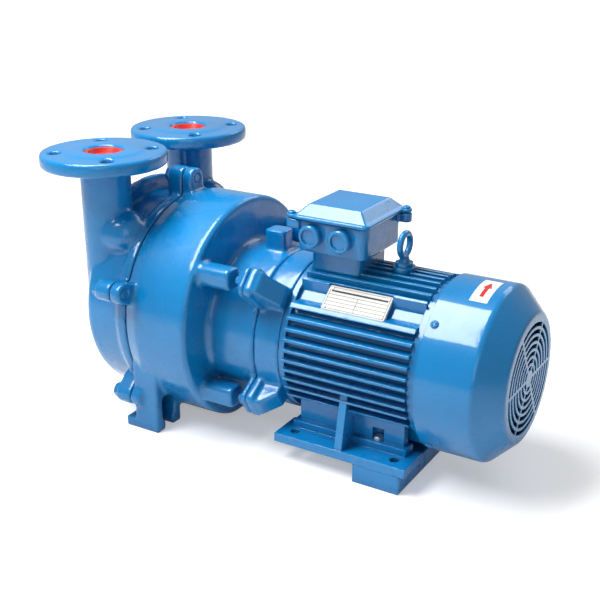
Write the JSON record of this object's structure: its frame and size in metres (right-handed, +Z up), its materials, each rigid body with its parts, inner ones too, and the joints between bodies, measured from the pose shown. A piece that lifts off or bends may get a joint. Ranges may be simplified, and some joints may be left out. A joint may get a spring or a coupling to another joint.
{
  "type": "liquid ring vacuum pump",
  "caption": "Close-coupled liquid ring vacuum pump: round casing with upright flanged ports, vaned impeller, mechanical seal and a finned foot-mounted motor with fan cowl and terminal box.",
  "frame": {"origin": "on the floor under the middle of the pump's length, in the upright plane through the shaft", "axes": "+X along the shaft from the pump end to the fan end, +Z up through the port faces, +Y towards the suction port"},
  "size_m": [0.6424, 0.3476, 0.366],
  "materials": {
    "blue_paint": "gloss blue enamel over cast iron",
    "cowl_paint": "gloss blue enamel over sheet steel",
    "painted_fastener": "steel fastener painted over with the body",
    "zinc_fastener": "zinc plated",
    "machined_steel": "machined",
    "core_steel": "stacked laminations",
    "bronze": "cast bronze",
    "copper_winding": "varnished copper wire",
    "terminal_brass": "turned",
    "red_plastic": "moulded transit plug",
    "blue_plastic": "moulded entry plug painted over",
    "fan_plastic": "moulded",
    "valve_plastic": "flexible fluoropolymer sheet",
    "board_resin": "moulded resin",
    "seal_ceramic": "lapped ceramic",
    "seal_carbon": "lapped carbon",
    "black_rubber": "moulded",
    "plate_aluminium": "bare satin plate"
  },
  "bodies": {
    "root": {"pump_casing": "blue_paint", "port_cover": "blue_paint", "port_plate": "machined_steel", "joint_gasket": "black_rubber", "valve_stop": "machined_steel", "seal_seat": "seal_ceramic", "joint_bolts": "painted_fastener", "drain_plug": "painted_fastener", "liquid_plug": "painted_fastener", "drive_end_shield": "blue_paint", "shield_studs": "painted_fastener", "stud_nuts": "painted_fastener", "lip_seal": "black_rubber", "stator_core": "core_steel", "stator_winding": "copper_winding", "motor_frame": "blue_paint", "drive_bearing_outer": "machined_steel", "fan_bearing_outer": "machined_steel", "fan_end_shield": "blue_paint", "fan_shield_screws": "zinc_fastener", "drive_shield_screws": "zinc_fastener", "fan_cowl": "cowl_paint", "cowl_screws": "painted_fastener", "terminal_box": "blue_paint", "box_gasket": "black_rubber", "terminal_lid": "blue_paint", "lid_screws": "painted_fastener", "terminal_board": "board_resin", "terminal_studs": "terminal_brass", "cable_entry_plugs": "blue_plastic", "eyebolt": "painted_fastener", "nameplate": "plate_aluminium", "nameplate_rivets": "plate_aluminium", "support_block": "blue_paint", "block_screws": "zinc_fastener"},
    "rotor": {"motor_shaft": "machined_steel", "rotor_core": "core_steel", "impeller": "bronze", "impeller_key": "machined_steel", "impeller_washer": "machined_steel", "impeller_nut": "machined_steel", "seal_head": "seal_carbon", "seal_spring": "machined_steel", "seal_collar": "machined_steel", "slinger_ring": "black_rubber", "drive_bearing_inner": "machined_steel", "fan_bearing_inner": "machined_steel", "fan": "fan_plastic", "fan_circlip": "machined_steel"},
    "drive_balls": {"drive_bearing_balls": "machined_steel"},
    "fan_balls": {"fan_bearing_balls": "machined_steel"},
    "valve_flap": {"discharge_valve": "valve_plastic"},
    "suction_plug": {"suction_port_plug": "red_plastic"},
    "discharge_plug": {"discharge_port_plug": "red_plastic"}
  },
  "joints": [
    {"name": "rotor_spin", "type": "hinge", "parent": "root", "child": "rotor", "pos_m": [0, 0, 0.137], "axis": [1, 0, 0], "continuous": true},
    {"name": "drive_balls_roll", "type": "hinge", "parent": "root", "child": "drive_balls", "pos_m": [0, 0, 0.137], "axis": [1, 0, 0], "continuous": true},
    {"name": "fan_balls_roll", "type": "hinge", "parent": "root", "child": "fan_balls", "pos_m": [0, 0, 0.137], "axis": [1, 0, 0], "continuous": true},
    {"name": "valve_lift", "type": "hinge", "parent": "root", "child": "valve_flap", "pos_m": [-0.17295, -0.046, 0.137], "axis": [0, 0, -1], "range_deg": [0, 6], "stiffness_Nm_per_rad": 0.4},
    {"name": "suction_plug_pull", "type": "slide", "parent": "root", "child": "suction_plug", "axis": [0, 0, 1], "range_m": [0, 0.06]},
    {"name": "discharge_plug_pull", "type": "slide", "parent": "root", "child": "discharge_plug", "axis": [0, 0, 1], "range_m": [0, 0.06]}
  ],
  "couplings": [
    {"joint": "drive_balls_roll", "follows": "rotor_spin", "ratio": 0.382},
    {"joint": "fan_balls_roll", "follows": "rotor_spin", "ratio": 0.382}
  ]
}
